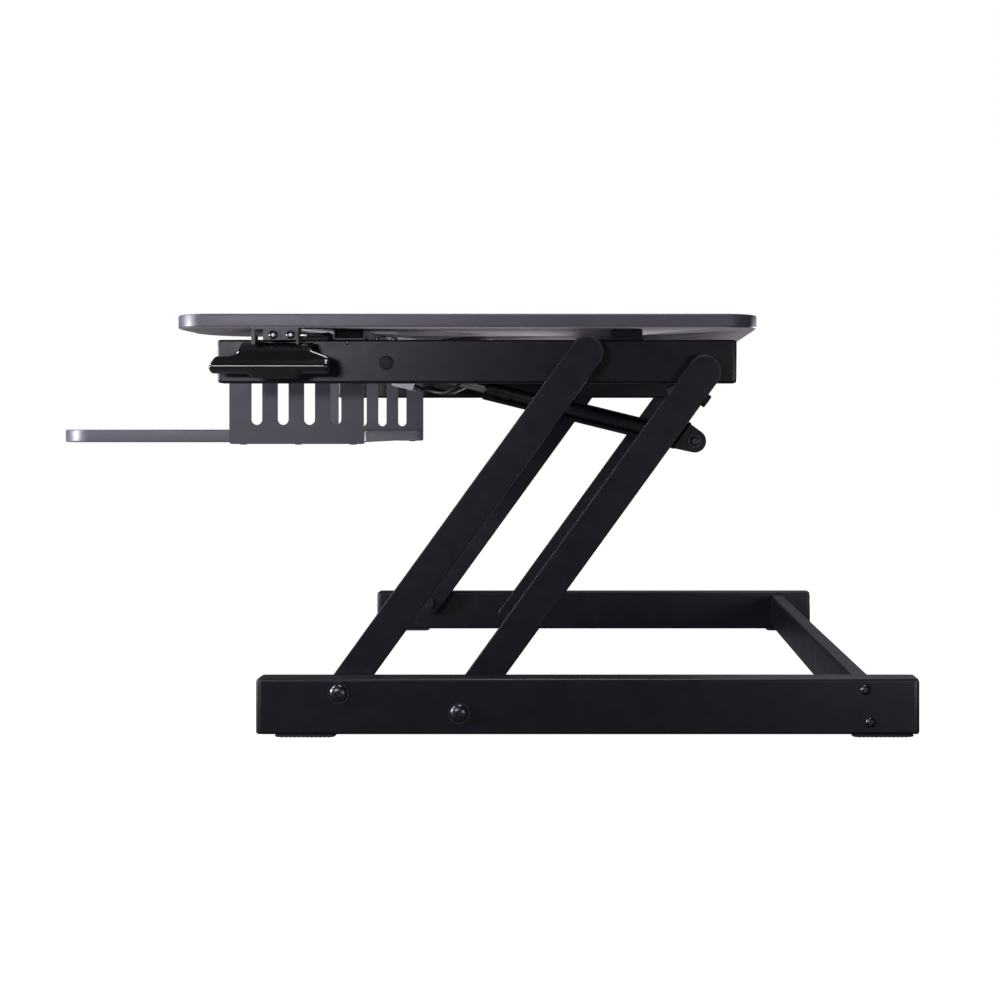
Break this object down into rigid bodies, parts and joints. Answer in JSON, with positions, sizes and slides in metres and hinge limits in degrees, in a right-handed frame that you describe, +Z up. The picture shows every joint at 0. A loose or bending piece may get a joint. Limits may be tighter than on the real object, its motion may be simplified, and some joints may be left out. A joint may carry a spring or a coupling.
{
  "type": "standing desk converter",
  "caption": "Sit-stand desk converter: raised worktop with a keyboard tray on parallel arms, lifted by a lockable gas spring and squeeze handles.",
  "frame": {"origin": "on the desk under the centre of the whole object, at the underside of the rubber feet", "axes": "+X towards the user's right, +Y towards the rear, away from the user, +Z up"},
  "size_m": [0.8722, 0.9826, 0.457],
  "materials": {
    "steel": "fine-textured black powder coat",
    "caps": "satin moulded polyethylene",
    "rubber": "matt rubber",
    "black_fasteners": "black oxide, satin",
    "zinc": "bright zinc plate",
    "nylon": "nylon",
    "chrome": "hard chrome, polished",
    "cylinder": "semi-gloss black paint",
    "release": "zinc-plated steel",
    "worktop": "black melamine on MDF",
    "handle": "moulded nylon, satin gloss",
    "bracket": "coarse textured grey-black coat",
    "cable": "PVC sheath",
    "ferrule": "nickel-plated brass"
  },
  "bodies": {
    "base": {"base_rail_left": "steel", "base_rail_right": "steel", "base_end_caps": "caps", "rear_crossbar": "steel", "crossbar_bolts": "black_fasteners", "rubber_feet": "rubber", "base_pivot_bolts": "black_fasteners", "base_pivot_washers": "black_fasteners", "base_pivot_spacers": "nylon", "base_pivot_nuts": "zinc"},
    "front_arms": {"front_arm_left": "steel", "front_arm_right": "steel", "front_arm_bushings": "nylon"},
    "rear_arms": {"rear_arm_left": "steel", "rear_arm_right": "steel", "rear_arm_bushings": "nylon", "rear_arm_cross_tube_left": "steel", "rear_arm_cross_tube_right": "steel", "gas_spring_rear_clevis": "steel", "rear_lug_bolt": "black_fasteners", "rear_lug_nut": "zinc", "arm_bumpers": "rubber"},
    "gas_cylinder": {"gas_spring_cylinder": "cylinder", "rod_guide_seal": "nylon", "gas_spring_cover": "steel", "cover_clamps": "zinc"},
    "handle_left": {"squeeze_handle_left": "handle"},
    "handle_right": {"squeeze_handle_right": "handle"},
    "release_left": {"release_lever_left": "release"},
    "release_right": {"release_lever_right": "release"},
    "platform": {"cable_ferrules": "ferrule", "control_cable_left": "cable", "control_cable_right": "cable", "cross_tube_front": "steel", "cross_tube_plugs": "caps", "cross_tube_rear": "steel", "gas_spring_piston": "cylinder", "gas_spring_rod": "chrome", "handle_bracket_left": "bracket", "handle_bracket_right": "bracket", "handle_pins": "zinc", "handle_springs": "zinc", "handle_tab_screws": "zinc", "keyboard_tray": "worktop", "rail_clip_screws": "zinc", "release_housing": "zinc", "release_lever_axle": "zinc", "rod_jam_nut": "zinc", "spring_trunnion_bar": "steel", "tray_bracket_left": "steel", "tray_bracket_right": "steel", "trunnion_bolts": "black_fasteners", "upper_pivot_bolts": "black_fasteners", "upper_pivot_spacers": "nylon", "upper_rail_end_caps": "caps", "upper_rail_left": "steel", "upper_rail_right": "steel", "valve_pin": "chrome", "wood_screws": "black_fasteners", "worktop": "worktop"}
  },
  "joints": [
    {"name": "lift", "type": "hinge", "parent": "base", "child": "front_arms", "pos_m": [0, -0.13075, 0.0485], "axis": [1, 0, 0], "range_deg": [-46.7, 6]},
    {"name": "rear_arm_swing", "type": "hinge", "parent": "base", "child": "rear_arms", "pos_m": [0, -0.00175, 0.0275], "axis": [1, 0, 0], "range_deg": [-46.7, 6]},
    {"name": "platform_level", "type": "hinge", "parent": "front_arms", "child": "platform", "pos_m": [0, 0.13429, 0.41464], "axis": [1, 0, 0], "range_deg": [-6, 46.7]},
    {"name": "gas_spring_stroke", "type": "slide", "parent": "platform", "child": "gas_cylinder", "axis": [0, 0.971, -0.2392], "range_m": [-0.0635, 0.0085]},
    {"name": "squeeze_right", "type": "hinge", "parent": "platform", "child": "handle_right", "pos_m": [0.386, -0.20625, 0.419], "axis": [0, -1, 0], "range_deg": [0, 14], "stiffness_Nm_per_rad": 1.2, "springref_deg": -17.19},
    {"name": "squeeze_left", "type": "hinge", "parent": "platform", "child": "handle_left", "pos_m": [-0.386, -0.20625, 0.419], "axis": [0, 1, 0], "range_deg": [0, 14], "stiffness_Nm_per_rad": 1.2, "springref_deg": -17.19},
    {"name": "release_lever_right_swing", "type": "hinge", "parent": "platform", "child": "release_right", "pos_m": [0.0055, -0.11957, 0.41739], "axis": [1, 0, 0], "range_deg": [0, 10.2]},
    {"name": "release_lever_left_swing", "type": "hinge", "parent": "platform", "child": "release_left", "pos_m": [-0.0055, -0.11957, 0.41739], "axis": [1, 0, 0], "range_deg": [0, 10.2]}
  ],
  "couplings": [
    {"joint": "rear_arm_swing", "follows": "lift", "ratio": 1},
    {"joint": "platform_level", "follows": "lift", "ratio": -1},
    {"joint": "gas_spring_stroke", "follows": "lift", "m_per_rad": 0.0775},
    {"joint": "release_lever_right_swing", "follows": "squeeze_right", "ratio": 0.714},
    {"joint": "release_lever_left_swing", "follows": "squeeze_left", "ratio": 0.714}
  ]
}
